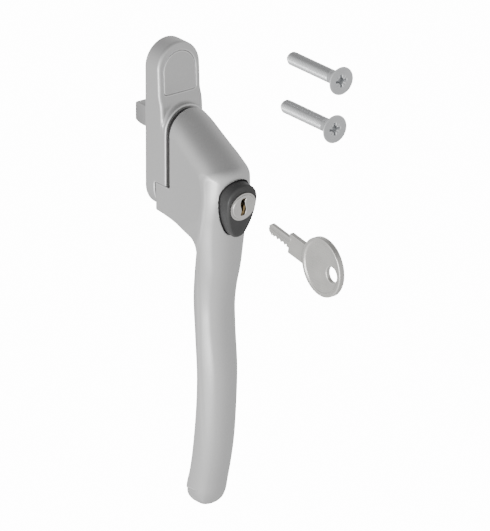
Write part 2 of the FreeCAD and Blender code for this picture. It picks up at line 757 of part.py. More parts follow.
def make_plug():
    """The plug that the key turns, with its keyway, wafer slots and rear tail."""
    plug = joined("plug_whole",
                  lock_rod("plug_body", "plug_radius", "-plug_rear", "plug_proud"),
                  lock_rod("plug_tail", "tail_radius", "-tail_rear", "-plug_rear"))
    keyway = joined(
        "keyway",
        lock_box("keyway_upper", "-keyway_far", "keyway_near", "0", "keyway_half_height",
                 "-keyway_rear", "plug_proud + 1"),
        lock_box("keyway_lower", "-keyway_near", "keyway_far", "-keyway_half_height", "0",
                 "-keyway_rear", "plug_proud + 1"))
    slots = []
    wafers = []
    springs = []
    for index in range(int(size("wafer_count"))):
        inner = f"wafer_first - {index} * wafer_pitch"
        outer = f"{inner} + wafer_thick"
        slots.append(lock_box(f"slot_{index}", "-wafer_half_width - slot_gap",
                              "wafer_half_width + slot_gap", "-wafer_half_height - slot_gap",
                              "wafer_half_height + slot_gap", f"{inner} - slot_gap", f"{outer} + slot_gap"))
        slots.append(lock_rod(f"spring_hole_{index}", "wafer_spring_bore", inner, outer,
                              across="wafer_spring_across"))
        wafers.append(cut(
            f"wafer_{index}",
            lock_box(f"wafer_plate_{index}", "-wafer_half_width", "wafer_half_width",
                     "-wafer_half_height", "wafer_half_height", inner, outer),
            lock_box(f"wafer_window_{index}", "-window_half_width", "window_half_width",
                     "-window_half_height", "window_half_height", f"{inner} - 1", f"{outer} + 1")))
        springs.append(lock_rod(f"wafer_spring_{index}", "wafer_spring_radius", inner, outer,
                                across="wafer_spring_across"))
    node("lock_plug", cut("lock_plug", plug, joined("plug_tools", keyway, *slots)))
    node("wafers", grouped("wafers", wafers))
    node("wafer_springs", grouped("wafer_springs", springs))


def make_plug_fittings():
    """The clip that keeps the plug in the barrel and the cam that it turns."""
    node("plug_clip", cut(
        "plug_clip",
        lock_rod("clip_disc", "plug_clip_radius", "-barrel_rear - plug_clip_rear",
                 "-barrel_rear - plug_clip_front"),
        lock_rod("clip_bore", "tail_radius", "-tail_rear", "-plug_rear")))
    node("lock_cam", cut(
        "lock_cam",
        lock_box("cam_plate", "-cam_half_width", "cam_half_width", "-cam_half_height", "cam_half_height",
                 "-barrel_rear - cam_rear", "-barrel_rear - cam_front"),
        lock_rod("cam_bore", "tail_radius", "-tail_rear", "-plug_rear")))


# ---- key ----------------------------------------------------------------------------------


def make_key():
    """A flat key on the lock's axis: a notched blade, a shoulder and a round bow with a rim."""
    low = -size("blade_half_height")
    high = size("blade_half_height")
    tip = size("blade_tip")
    shoulder = size("shoulder_start")
    wing = size("shoulder_half_height")
    notch_count = int(size("notch_count"))
    notch_pitch = (shoulder - tip - size("notch_start") - size("notch_end")) / notch_count
    blade = [(high, tip + 1.2), (0.6, tip), (low + 0.5, tip + 1.4)]
    for index in range(notch_count):
        start = tip + size("notch_start") + index * notch_pitch
        depth = size("deep_notch") if index % 2 else size("shallow_notch")
        blade.append((low, start))
        blade.append((low + depth, start + notch_pitch / 2))
    blade += [(low, shoulder), (-wing, shoulder), (-wing, size("bow_centre")),
              (wing, size("bow_centre")), (wing, shoulder), (high, shoulder)]

    # The key's own sketch plane is upright: its first axis is the rise, its second the reach.
    flat = doc.addObject("PartDesign::Body", "key_flat")
    outline = sketch_on(flat, "key_outline", "YZ_Plane")
    trace(outline, *zip(blade, blade[1:] + blade[:1]))
    pad(flat, outline, "key_thick", both_ways=True)
    on_lock_axis(flat)

    def disc(name, radius, thick, offset="0"):
        """A round plate of the bow, its flat sides facing left and right."""
        plate = doc.addObject("Part::Cylinder", name)
        plate.Placement = Placement(Vector(), FACES_RIGHT)
        return bind(
            plate, Radius=radius, Height=thick, Base_x=f"-({thick}) / 2",
            Base_y=f"-face_depth - (bow_centre + {offset}) * cos(lock_tilt)",
            Base_z=f"face_height - (bow_centre + {offset}) * sin(lock_tilt)")

    rim = cut("bow_rim_ring", disc("bow_rim_outer", "bow_radius", "bow_thick"),
              disc("bow_rim_inner", "bow_radius - bow_rim", "bow_thick + 1"))
    web = disc("bow_web", "bow_radius - bow_rim / 2", "bow_thick - 2 * rim_height")
    hole = disc("ring_hole", "ring_hole_radius", "bow_thick + 1", "ring_hole_offset")
    return node("key", cut("key", joined("key_whole", flat, rim, web), hole))


make_base_plate()
make_hub_sleeve()
make_screw_cap()
make_fixing_screws()
make_detent()
make_lever()
make_spindle()
make_hub_rings()
make_return_spring()
make_button()
make_plug()
make_plug_fittings()
make_key()
doc.recompute()

for thing in doc.Objects:
    if "Invalid" in thing.State or "Error" in thing.State:
        raise RuntimeError(f"{thing.Name} failed: {thing.State}")

os.makedirs("parts", exist_ok=True)
for thing in NODES:
    if thing.Shape.isNull() or not thing.Shape.isValid():
        raise RuntimeError(f"{thing.Label} has no valid shape")
    if not thing.Shape.Solids or thing.Shape.Volume <= 0:
        raise RuntimeError(f"{thing.Label} has no solid")
    thing.Shape.exportStep(f"parts/{thing.Label}.step")
    print(f"{thing.Label}: {len(thing.Shape.Solids)} solid(s), {thing.Shape.Volume:.1f} mm3")
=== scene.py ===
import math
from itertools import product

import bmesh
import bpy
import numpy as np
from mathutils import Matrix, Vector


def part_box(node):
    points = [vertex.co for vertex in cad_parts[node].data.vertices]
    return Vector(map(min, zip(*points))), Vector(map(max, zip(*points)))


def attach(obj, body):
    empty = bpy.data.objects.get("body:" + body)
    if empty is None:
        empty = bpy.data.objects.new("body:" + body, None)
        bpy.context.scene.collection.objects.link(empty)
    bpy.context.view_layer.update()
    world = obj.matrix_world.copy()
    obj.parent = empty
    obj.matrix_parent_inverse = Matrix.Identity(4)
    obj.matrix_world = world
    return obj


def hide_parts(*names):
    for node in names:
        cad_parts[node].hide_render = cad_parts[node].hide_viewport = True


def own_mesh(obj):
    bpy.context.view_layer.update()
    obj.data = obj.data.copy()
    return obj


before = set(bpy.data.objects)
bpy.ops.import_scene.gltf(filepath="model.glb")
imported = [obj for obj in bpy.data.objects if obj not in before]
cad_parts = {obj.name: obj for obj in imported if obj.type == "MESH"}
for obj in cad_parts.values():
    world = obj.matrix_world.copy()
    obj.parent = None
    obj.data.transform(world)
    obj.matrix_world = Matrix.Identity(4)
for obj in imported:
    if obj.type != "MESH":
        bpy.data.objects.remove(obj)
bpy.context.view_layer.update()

# Lockable window handle. The castings, the spindle, the button, the lock's plug, the key and the
# screws are each described by a field, a function that is negative inside the piece and about the
# distance to its surface, so that every edge has its own fillet. The surface where a field is zero
# is then meshed. Lengths inside the fields are millimetres: x to the right, f forward from the
# wall (f = -Y), z up. Pieces of the lock use x, rise and reach on the lock's own tilted axis. The
# last number that both(), either() and without() take is the radius of the edge or fillet.

MM = 0.001
DIAGONAL = math.sqrt(0.5)


def box_mm(node):
    """Lowest and highest corner of a CAD node in millimetres, as x, f and z."""
    low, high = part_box(node)
    return ((low.x / MM, -high.y / MM, low.z / MM), (high.x / MM, -low.y / MM, high.z / MM))


# ---- sizes --------------------------------------------------------------------------------

# The base: radii, and depths in front of the wall. The plunger's hole lies on the lock's axis.
BASE_LOW, BASE_HIGH = box_mm("base_plate")
PLATE_RADIUS = BASE_HIGH[0]
ARC_HEIGHT = BASE_HIGH[2] - PLATE_RADIUS
BLOCK_DEPTH = 11.4
FLANGE_DEPTH = 5.0
TONGUE_CREST = 9.3
# The tongue's front, as height and depth: it leans forward a little towards the spindle.
TONGUE_LINE = ((0, 9.4), (7, 9.35), (9.2, 9.1), (12.4, 8.15), (16, 7.95), (31, 7.2))
BLOCK_FOOT = 20.85
HUB_BORE = 7.12
WASHER_SEAT = 7.7
WASHER_SEAT_DEPTH = 2.6
SCREW_HOLE = 2.7
SCREW_SEAT = 5.2
LOWER_DISH = 5.5
PLUNGER_HOLE = 2.6
PLUNGER_REACH = (-32.0, -20.0)

# The screw cap: its seat in the base, the gap round it, and the clip leg behind it.
CAP_LOW, CAP_HIGH = box_mm("screw_cap")
CAP_SIDE = CAP_HIGH[0]
CAP_CORNER = 1.2
CAP_REAR = 6.55
CAP_SEAT = CAP_REAR - 0.15
CAP_GAP = 0.13
CAP_PROUD = 0.15
CLIP_HALF_WIDTH = 3.0
CLIP_LOW = 13.2
CLIP_HIGH = 14.5
CLIP_REAR = 3.3

# The lever: its heel reaches back below the base's block and clears it along an arc.
LEVER_LOW, LEVER_HIGH = box_mm("lever")
LEVER_REAR = 13.3
HEEL_REAR = 5.4
HEEL_ARC = 21.0
NECK_FILLET = 4.0
TIP_RADIUS = 6.85
TIP_CENTRE = LEVER_LOW[2] + TIP_RADIUS
HUB_RADIUS = 6.6
HUB_REAR = 0.4
SOCKET_HALF_WIDTH = 3.53
SOCKET_FRONT = 17.05

SPINDLE_LOW, SPINDLE_HIGH = box_mm("spindle")
SPINDLE_HALF_WIDTH = 3.5

# The lock: its face as depth and height, the button's egg, then radii and reaches on its axis.
LOCK_TILT = math.radians(10)
LOCK_FACE = (38.4, -17.5)
EGG_TOP = 6.2
EGG_RISE = 1.6
EGG_SIDE = 26.0
EGG_TIP = 3.6
BUTTON_FRONT = 4.8
BUTTON_REAR = -5.4
BUTTON_GAP = 0.3
POCKET_REAR = -9.8
BARREL_RADIUS = 5.25
BARREL_BORE = 5.7
BUSH_SEAT = 3.4
BUSH_SEAT_REAR = -29.0
PLUG_RADIUS = 4.5
PLUG_FRONT = 5.2
PLUG_REAR = -12.0
PLUG_TAIL = 1.5
PLUG_TAIL_REAR = -16.4
KEYWAY_HEIGHT = 3.35
KEYWAY_HALF_WIDTH = 0.95
KEYWAY_REAR = -7.4
KEYWAY_SWAY = 0.42

# The springs: the return spring's ends on the lock's axis.
SPRING_REAR = -23.6
SPRING_FRONT = -14.1

# ---- fields -------------------------------------------------------------------------------


def both(a, b, round_edge=0.0):
    """What two fields share, with its convex edge rounded."""
    corner = np.hypot(np.maximum(a + round_edge, 0), np.maximum(b + round_edge, 0))
    return np.minimum(np.maximum(a, b), -round_edge) + corner


def either(a, b, round_edge=0.0):
    """Two fields joined, with a concave fillet between them."""
    return -both(-a, -b, round_edge)


def without(a, b, round_edge=0.0):
    """One field with another cut out of it."""
    return both(a, -b, round_edge)


def line(at, points):
    """A smooth curve through a few points (place, value), read at any place."""
    places, values = (np.array(column, float) for column in zip(*sorted(points)))
    slopes = np.gradient(values, places)
    at = np.clip(at, places[0], places[-1])
    index = np.clip(np.searchsorted(places, at) - 1, 0, len(places) - 2)
    gap = places[index + 1] - places[index]
    share = (at - places[index]) / gap
    rest = 1 - share
    heights = (values[index] * rest ** 2 * (1 + 2 * share)
               + values[index + 1] * share ** 2 * (1 + 2 * rest))
    bends = slopes[index] * share * rest ** 2 - slopes[index + 1] * rest * share ** 2
    return heights + gap * bends


def capsule(x, z, low, high, radius):
    """Distance to an upright slot with round ends."""
    return np.hypot(x, z - np.clip(z, low, high)) - radius


def disc(x, z, radius, height=0.0):
    """Distance to an upright circle about a centre on the middle line."""
    return np.hypot(x, z - height) - radius


def slab(value, low, high):
    """Distance to the space between two parallel planes."""
    return np.maximum(low - value, value - high)


def egg(x, rise):
    """Distance to the button's egg: a round top, two long side arcs and a small round tip."""
    inset = EGG_SIDE - EGG_TOP
    drop = math.sqrt((EGG_SIDE - EGG_TIP) ** 2 - inset ** 2)
    lean = math.atan2(drop, inset)
    side = np.abs(x)
    down = EGG_RISE - rise
    top = np.hypot(side, down) - EGG_TOP
    flank = np.hypot(side + inset, down) - EGG_SIDE
    tip = np.hypot(side, down - drop) - EGG_TIP
    below = np.where(np.arctan2(down, side + inset) > lean, tip, flank)
    return np.where(down < 0, top, below)


def to_lock(f, z):
    """Rise and reach on the lock's axis of a point in front of the wall."""
    forward = f - LOCK_FACE[0]
    up = z - LOCK_FACE[1]
    rise = forward * math.sin(LOCK_TILT) + up * math.cos(LOCK_TILT)
    reach = forward * math.cos(LOCK_TILT) - up * math.sin(LOCK_TILT)
    return rise, reach


def in_wall_frame(points):
    """Place x, f, z in metres in the row's frame."""
    return np.stack([points[:, 0], -points[:, 1], points[:, 2]], 1) * MM


def in_lock_frame(points):
    """Place x, rise, reach in metres in the row's frame."""
    rise, reach = points[:, 1], points[:, 2]
    f = LOCK_FACE[0] + rise * math.sin(LOCK_TILT) + reach * math.cos(LOCK_TILT)
    z = LOCK_FACE[1] + rise * math.cos(LOCK_TILT) - reach * math.sin(LOCK_TILT)
    return np.stack([points[:, 0], -f, z], 1) * MM


# ---- meshing ------------------------------------------------------------------------------

# The mesh attribute that says how sharply a piece bends, and how far to the sides it looks.
BEND = "bend"
BEND_REACH = 0.4
# Sides of a spring: along each turn, and round its wire.
COIL_SIDES = 28
WIRE_SIDES = 10


def surface_cells(value):
    """The grid cells that a field's surface crosses, a vertex for each, and the quads between."""
    inside = value < 0
    cells = tuple(n - 1 for n in value.shape)
    count = sum(inside[i:i + cells[0], j:j + cells[1], k:k + cells[2]].astype(np.int8)
                for i, j, k in product((0, 1), repeat=3))
    crossed = (count > 0) & (count < 8)
    at = np.argwhere(crossed)
    number = np.full(cells, -1)
    number[crossed] = np.arange(len(at))

    total = np.zeros((len(at), 3))
    hits = np.zeros((len(at), 1))
    for axis in range(3):
        others = [k for k in range(3) if k != axis]
        for shift in product((0, 1), repeat=2):
            start = np.zeros(3, int)
            start[others] = shift
            end = start.copy()
            end[axis] = 1
            first = value[tuple((at + start).T)]
            last = value[tuple((at + end).T)]
            cut = (first < 0) != (last < 0)
            share = first[cut] / (first[cut] - last[cut])
            spot = np.tile(start.astype(float), (cut.sum(), 1))
            spot[:, axis] += share
            total[cut] += spot
            hits[cut] += 1
    vertices = at + total / hits

    quads = []
    for axis in range(3):
        low = [slice(None)] * 3
        high = [slice(None)] * 3
        low[axis] = slice(0, -1)
        high[axis] = slice(1, None)
        here = np.argwhere(inside[tuple(low)] != inside[tuple(high)])
        others = [k for k in range(3) if k != axis]
        keep = np.all(here[:, others] > 0, 1)
        here = here[keep]
        ring = []
        for step in ((1, 1), (0, 1), (0, 0), (1, 0)):
            corner = here.copy()
            corner[:, others[0]] -= step[0]
            corner[:, others[1]] -= step[1]
            ring.append(number[tuple(corner.T)])
        quad = np.stack(ring, 1)
        outward = inside[tuple(here.T)]
        if axis == 1:
            outward = ~outward
        quads.append(np.where(outward[:, None], quad, quad[:, ::-1]))
    return vertices, np.concatenate(quads)


def settle(points, quads, field, step):
    """Even out the vertices and put each one on the field's surface."""
    starts = quads.ravel()
    ends = np.roll(quads, -1, 1).ravel()
    near = np.bincount(starts, minlength=len(points)) + np.bincount(ends, minlength=len(points))
    tiny = step * 0.05
    flattest = 0.1
    for spread in (0.5, 0.5, 0.3, 0.0, 0.0):
        if spread:
            pulled = np.stack([np.bincount(starts, points[ends, k], len(points))
                               + np.bincount(ends, points[starts, k], len(points)) for k in range(3)], 1)
            points = points + spread * (pulled / near[:, None] - points)
        value = field(*points.T)
        slope = np.stack([(field(*(points + push).T) - field(*(points - push).T)) / (2 * tiny)
                          for push in np.eye(3) * tiny], 1)
        steep = np.maximum((slope ** 2).sum(1), flattest)
        move = np.clip(value / steep, -step, step)
        points = points - move[:, None] * slope
    return points


def add_object(name, data):
    """A new object in the scene."""
    added = bpy.data.objects.new(name, data)
    bpy.context.scene.collection.objects.link(added)
    return added


def skin(name, field, low, high, step, place=in_wall_frame):
    """A mesh object of the surface where a field is zero, with how sharply it bends there."""
    axes = [np.arange(math.floor(first / step) - 1, math.ceil(last / step) + 2) * step
            for first, last in zip(low, high)]
    grid = np.meshgrid(*axes, indexing="ij", sparse=True)
    value = np.broadcast_to(field(*grid), [len(axis) for axis in axes])
    vertices, quads = surface_cells(value)
    points = vertices * step + np.array([axis[0] for axis in axes])
    points = settle(points, quads, field, step)
    turn = quads[:, ::-1] if place is in_wall_frame else quads
    mesh = bpy.data.meshes.new(name)
    mesh.from_pydata(place(points).tolist(), [], turn.tolist())
    mesh.polygons.foreach_set("use_smooth", np.ones(len(quads), bool))
    pushes = np.eye(3) * BEND_REACH
    bend = sum(field(*(points + push).T) + field(*(points - push).T) for push in pushes)
    layer = mesh.attributes.new(BEND, "FLOAT", "POINT")
    layer.data.foreach_set("value", bend / BEND_REACH ** 2)
    mesh.update()
    return add_object(name, mesh)


def coil(name, radius, wire, pitch, low, high, place):
    """A coil spring round the third axis from low to high, with closed ends."""
    height = high - low - 2 * wire
    turns = height / pitch
    count = math.ceil(turns * COIL_SIDES) + 1
    along = np.linspace(0, 1, count)[:, None]
    section = np.linspace(0, 2 * math.pi, WIRE_SIDES, endpoint=False)[None, :]
    angle = 2 * math.pi * turns * along
    out = radius + wire * np.cos(section)
    up = low + wire + height * along + wire * np.sin(section)
    points = np.stack([out * np.cos(angle), out * np.sin(angle), up], 2).reshape(-1, 3)
    ring = np.arange(WIRE_SIDES)
    after = np.roll(ring, -1)
    faces = [ring[::-1].tolist(), (ring + (count - 1) * WIRE_SIDES).tolist()]
    for start in range(0, (count - 1) * WIRE_SIDES, WIRE_SIDES):
        quads = np.stack([ring, after, after + WIRE_SIDES, ring + WIRE_SIDES], 1)
        faces += (quads + start).tolist()
    mesh = bpy.data.meshes.new(name)
    mesh.from_pydata(place(points).tolist(), [], faces)
    smooth = bmesh.new()
    smooth.from_mesh(mesh)
    bmesh.ops.recalc_face_normals(smooth, faces=smooth.faces)
    for face in smooth.faces:
        face.smooth = len(face.verts) == 4
    smooth.to_mesh(mesh)
    smooth.free()
    return add_object(name, mesh)


def finish_piece(piece, body, material, node):
    """Give a piece its material and body, and hide the CAD node it stands for."""
    piece.data.materials.append(material)
    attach(piece, body)
    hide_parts(node)


# ---- materials ----------------------------------------------------------------------------


def new_material(name, metallic, roughness):
    """A material with its shader and an object-space place to hang textures on."""
    material = bpy.data.materials.new(name)
    material.use_nodes = True
    nodes = material.node_tree.nodes
    shader = nodes["Principled BSDF"]
    shader.inputs["Metallic"].default_value = metallic
    shader.inputs["Roughness"].default_value = roughness
    place = nodes.new("ShaderNodeTexCoord")
    return material, shader, place.outputs["Object"]


def noise(material, place, scale, detail=3.0, stretch=(1, 1, 1)):
    """A noise texture at a scale per metre, stretched along an axis."""
    nodes = material.node_tree.nodes
    links = material.node_tree.links
    mapping = nodes.new("ShaderNodeMapping")
    mapping.inputs["Scale"].default_value = stretch
    links.new(place, mapping.inputs["Vector"])
    texture = nodes.new("ShaderNodeTexNoise")
    texture.inputs["Scale"].default_value = scale
    texture.inputs["Detail"].default_value = detail
    links.new(mapping.outputs["Vector"], texture.inputs["Vector"])
    return texture.outputs["Fac"]


def ramp(material, factor, low, high, start=0.3, end=0.7):
    """Two colours spread over a stretch of a factor."""
    node = material.node_tree.nodes.new("ShaderNodeValToRGB")
    node.color_ramp.elements[0].position = start
    node.color_ramp.elements[0].color = (*low, 1)
    node.color_ramp.elements[1].position = end
    node.color_ramp.elements[1].color = (*high, 1)
    material.node_tree.links.new(factor, node.inputs["Fac"])
    return node.outputs["Color"]


def grey(amount, tint=(1, 1, 1)):
    """A grey with a slight tint."""
    return tuple(amount * share for share in tint)


def spread(material, factor, low, high):
    """A number that varies with a factor."""
    node = material.node_tree.nodes.new("ShaderNodeMapRange")
    node.inputs["To Min"].default_value = low
    node.inputs["To Max"].default_value = high
    material.node_tree.links.new(factor, node.inputs["Value"])
    return node.outputs["Result"]


def bump(material, shader, height, distance, strength):
    """Bump from a height, in metres."""
    node = material.node_tree.nodes.new("ShaderNodeBump")
    node.inputs["Distance"].default_value = distance
    node.inputs["Strength"].default_value = strength
    material.node_tree.links.new(height, node.inputs["Height"])
    material.node_tree.links.new(node.outputs["Normal"], shader.inputs["Normal"])


def faded(tree, source, start, end, low, high):
    """A number that goes smoothly from low to high while its source goes from start to end."""
    fade = tree.nodes.new("ShaderNodeMapRange")
    fade.interpolation_type = "SMOOTHSTEP"
    for name, amount in (("From Min", start), ("From Max", end), ("To Min", low), ("To Max", high)):
        fade.inputs[name].default_value = amount
    tree.links.new(source, fade.inputs["Value"])
    return fade.outputs["Result"]


def worn_and_highlit_edges(material, colour, edge_wear_and_highlight, start=0.6, end=1.8):
    """A colour that turns lighter along convex edges, partly as wear where hands and cloths rub it and
    partly as a painted highlight along the rims: none at a bend of start per millimetre, most at end."""
    tree = material.node_tree
    bend = tree.nodes.new("ShaderNodeAttribute")
    bend.attribute_name = BEND
    mix = tree.nodes.new("ShaderNodeMix")
    mix.data_type = "RGBA"
    inputs = {socket.identifier: socket for socket in mix.inputs}
    share = faded(tree, bend.outputs["Fac"], start, end, low=0.0, high=0.75)
    tree.links.new(share, inputs["Factor_Float"])
    tree.links.new(colour, inputs["A_Color"])
    inputs["B_Color"].default_value = (*edge_wear_and_highlight, 1)
    return next(socket for socket in mix.outputs if socket.identifier == "Result_Color")


def satin_paint(name, shade):
    """Silver paint on a casting: fine flake, faint unevenness and a soft sheen."""
    material, shader, place = new_material(name, metallic=0.85, roughness=0.42)
    links = material.node_tree.links
    flake = noise(material, place, scale=5200, detail=2.0)
    cloud = noise(material, place, scale=60)
    grain = noise(material, place, scale=2600, detail=2.0)
    colour = ramp(material, flake, grey(shade * 0.93), grey(shade * 1.07, (1.0, 1.0, 0.995)))
    # Convex edges lighter: partly wear, partly a painted highlight along the rims.
    links.new(worn_and_highlit_edges(material, colour, grey(shade * 1.5)), shader.inputs["Base Color"])
    links.new(spread(material, cloud, low=0.39, high=0.45), shader.inputs["Roughness"])
    bump(material, shader, grain, distance=0.000012, strength=0.5)
    return material


def moulded_plastic(name, shade, roughness):
    """Spark-eroded plastic: a fine even grain and faint changes of sheen."""
    material, shader, place = new_material(name, 0.0, roughness)
    shader.inputs["Specular IOR Level"].default_value = 0.45
    links = material.node_tree.links
    grain = noise(material, place, scale=4000, detail=2.0)
    cloud = noise(material, place, scale=250)
    colour = ramp(material, cloud, grey(shade * 0.88), grey(shade * 1.12, (1, 1, 1.03)))
    # Convex edges lighter: partly wear, partly a painted highlight along the rims.
    links.new(worn_and_highlit_edges(material, colour, grey(shade * 1.8)), shader.inputs["Base Color"])
    links.new(spread(material, grain, roughness - 0.05, roughness + 0.06), shader.inputs["Roughness"])
    bump(material, shader, grain, distance=0.00002, strength=0.6)
    return material


def turned_metal(name, colour, roughness, stretch=(1, 1, 1), scale=2500):
    """Bright metal with fine tool or drawing marks, long along one axis."""
    material, shader, place = new_material(name, 1.0, roughness)
    links = material.node_tree.links
    marks = noise(material, place, scale, stretch=stretch)
    cloud = noise(material, place, scale=180, detail=2.0)
    dull = tuple(part * 0.88 for part in colour)
    bright = tuple(part * 1.15 for part in colour)
    tone = ramp(material, cloud, dull, colour)
    # Convex edges lighter: partly wear, partly a painted highlight along the rims.
    links.new(worn_and_highlit_edges(material, tone, bright), shader.inputs["Base Color"])
    links.new(spread(material, marks, roughness - 0.06, roughness + 0.08), shader.inputs["Roughness"])
    bump(material, shader, marks, distance=0.000008, strength=0.5)
    return material


SATIN = satin_paint("satin_silver_paint", 0.58)
CAP_PAINT = satin_paint("cap_silver_paint", 0.58)
BUTTON_PLASTIC = moulded_plastic("button_plastic", 0.035, 0.42)
NYLON = moulded_plastic("nylon", 0.02, 0.5)
NICKEL = turned_metal("nickel_plate", (0.66, 0.65, 0.63), 0.28)
KEY_NICKEL = turned_metal("key_nickel", (0.68, 0.67, 0.64), 0.27, stretch=(1, 0.06, 1), scale=1800)
ZINC = turned_metal("zinc_plate", (0.66, 0.67, 0.68), 0.27)
SPINDLE_STEEL = turned_metal("spindle_steel", (0.5, 0.5, 0.5), 0.36, stretch=(1, 0.05, 1), scale=1500)
SPRING_STEEL = turned_metal("spring_steel", (0.45, 0.45, 0.46), 0.3, stretch=(1, 1, 0.1))
BRASS = turned_metal("brass", (0.42, 0.31, 0.16), 0.35)

# ---- base ---------------------------------------------------------------------------------


def cap_shape(x, z, margin=0.0):
    """Distance to the cap's D: round at the top, straight at the bottom with small corners."""
    centre = CAP_HIGH[2] - CAP_SIDE
    round_top = disc(x, z, CAP_SIDE, centre)
    square = both(np.abs(x) - CAP_SIDE, CAP_LOW[2] - z, CAP_CORNER)
    return np.where(z > centre, round_top, square) - margin


def base_field(x, f, z):
    """The base: a slot-shaped plate, a tongue that rises to a thick block, and its bores."""
    outline = capsule(x, z, -ARC_HEIGHT, ARC_HEIGHT, PLATE_RADIUS)
    tongue_front = line(z, TONGUE_LINE)
    round_block = np.where(z > 0, disc(x, z, PLATE_RADIUS), disc(x, z, BLOCK_FOOT))
    crisp = 0.25
    on_tongue = (z > 0) & (f <= TONGUE_CREST)
    block = both(round_block, f - BLOCK_DEPTH, crisp)
    steps = either(f - np.where(z > 0, tongue_front, FLANGE_DEPTH), block, 0.9)
    solid = both(outline, steps, np.where(on_tongue, 1.0, crisp))
    solid = both(solid, -f, 0.3)
    solid = without(solid, both(cap_shape(x, z, CAP_GAP), CAP_SEAT - f), crisp)
    solid = without(solid, disc(x, z, HUB_BORE), 0.15)
    solid = without(solid, both(disc(x, z, WASHER_SEAT), f - WASHER_SEAT_DEPTH), 0.1)
    for height, front in ((ARC_HEIGHT, CAP_SEAT), (-ARC_HEIGHT, FLANGE_DEPTH)):
        hole = disc(x, z, SCREW_HOLE, height)
        seat = (disc(x, z, SCREW_SEAT, height) + front - f) * DIAGONAL
        solid = without(solid, np.minimum(hole, np.maximum(seat, disc(x, z, SCREW_SEAT, height))))
    solid = without(solid, both(disc(x, z, LOWER_DISH, -ARC_HEIGHT), FLANGE_DEPTH - f), 0.15)
    rise, reach = to_lock(f, z)
    return without(solid, both(disc(x, rise, PLUNGER_HOLE), slab(reach, *PLUNGER_REACH)), 0.1)


def cap_field(x, f, z):
    """The screw cap: a thin D with a softly crowned face and one clip leg behind."""
    middle = 20
    crown = 0.012 * (x ** 2 + (z - middle) ** 2 * 0.7)
    front = line(z, TONGUE_LINE) + CAP_PROUD - 0.4 * crown / (1 + crown)
    face = both(cap_shape(x, z), f - front, 0.3)
    plate = both(face, CAP_REAR - f, 0.15)
    across = np.maximum(np.abs(x) - CLIP_HALF_WIDTH, slab(z, CLIP_LOW, CLIP_HIGH))
    clip = np.maximum(across, slab(f, CLIP_REAR, CAP_REAR + 0.5))
    return np.minimum(plate, clip)


# ---- lever --------------------------------------------------------------------------------

# The crown line: depth, height of the round top and half-width there.
CROWN = ((LEVER_REAR, 8.4, 8.75), (17, 6.9, 8.8), (21, 4.7, 8.9), (26, 1.9, 9.05), (30.5, -0.5, 9.2),
         (36, -4.0, 9.5), (42, -7.6, 9.8))
# The front line: height, depth in the middle, half-width and radius of the arch there.
FRONT = ((12, 42.0, 9.6, 12), (-7.1, 40.7, 9.6, 12), (-18, 40.0, 9.7, 12), (-28, 37.9, 9.3, 11.5),
         (-36, 36.9, 8.9, 10.8), (-44, 36.0, 8.3, 9.8), (-51.5, 34.3, 7.8, 9), (-58, 33.5, 7.5, 8.6),
         (-66, 33.7, 7.5, 8.6), (-82, 35.0, 7.55, 8.6), (-94, 34.6, 7.55, 8.6), (-109, 33.2, 7.4, 8.5),
         (-124, 29.9, 7.15, 8.5), (-129.5, 28.4, 7.05, 8.5), (-133, 26.2, 7.0, 8.5),
         (-135, 23.8, 7.0, 8.5))
# The rounding between the side faces and the front, by height.
FRONT_EDGE = ((12, 2.4), (-8, 2.2), (-20, 1.6), (-36, 1.5), (-55, 1.5), (-75, 1.8), (-95, 2.5),
              (-135, 3.0))
# The crease that ends the flat side faces, as depth and height, and how much the strip in front of
# it slants inwards.
CREASE = ((20, 3.0), (24.5, 0.6), (27.2, -2.7), (29.2, -7), (30.4, -12), (31.3, -18), (31.4, -24),
          (30.3, -33), (28.6, -45), (27.9, -56), (28.3, -74), (29.2, -90), (29.6, -106), (29.92, -125.2))
SLANT = 0.2
# A fine groove runs along the crease.
GROOVE_DEPTH = 0.12
GROOVE_HALF_WIDTH = 0.7
# The grip's rear line as height and depth, and the underside, heel to neck, as depth and height.
GRIP_REAR = ((-30, 29.8), (-37, 28.0), (-46, 26.0), (-56, 24.6), (-68, 25.3), (-85, 26.4), (-104, 24.9),
             (-120, 21.9), (-127, 19.8), (-131, 19.6), (-133.5, 20.9), (-135, 22.8))
UNDERSIDE = ((0, -29.5), (5.4, -29.5), (11.4, -30.1), (16.4, -31.0), (21.5, -32.5), (25.8, -33.7),
             (31, -36.0))
GRIP_SLOPE = 0.98


def columns(table, key, column):
    """Pick a curve of a table: its key column against another."""
    return tuple((row[key], row[column]) for row in table)


def side_inset(f, z):
    """How far the side stands back at a point in side view: a fine groove, then the slanted strip."""
    path = np.array(CREASE, float)
    nearest = np.full(np.broadcast_shapes(np.shape(f), np.shape(z)), np.inf)
    beyond = nearest.copy()
    for start, end in zip(path, path[1:]):
        run = end - start
        length = math.hypot(*run)
        along = np.clip(((f - start[0]) * run[0] + (z - start[1]) * run[1]) / length ** 2, 0, 1)
        gap = np.hypot(f - start[0] - along * run[0], z - start[1] - along * run[1])
        out = np.sign((z - start[1]) * run[0] - (f - start[0]) * run[1])
        beyond = np.where(gap < nearest, out * gap, beyond)
        nearest = np.minimum(gap, nearest)
    slanted = SLANT * (beyond + np.sqrt(beyond ** 2 + 0.1)) / 2
    return slanted + GROOVE_DEPTH * np.exp(-(beyond / GROOVE_HALF_WIDTH) ** 2)


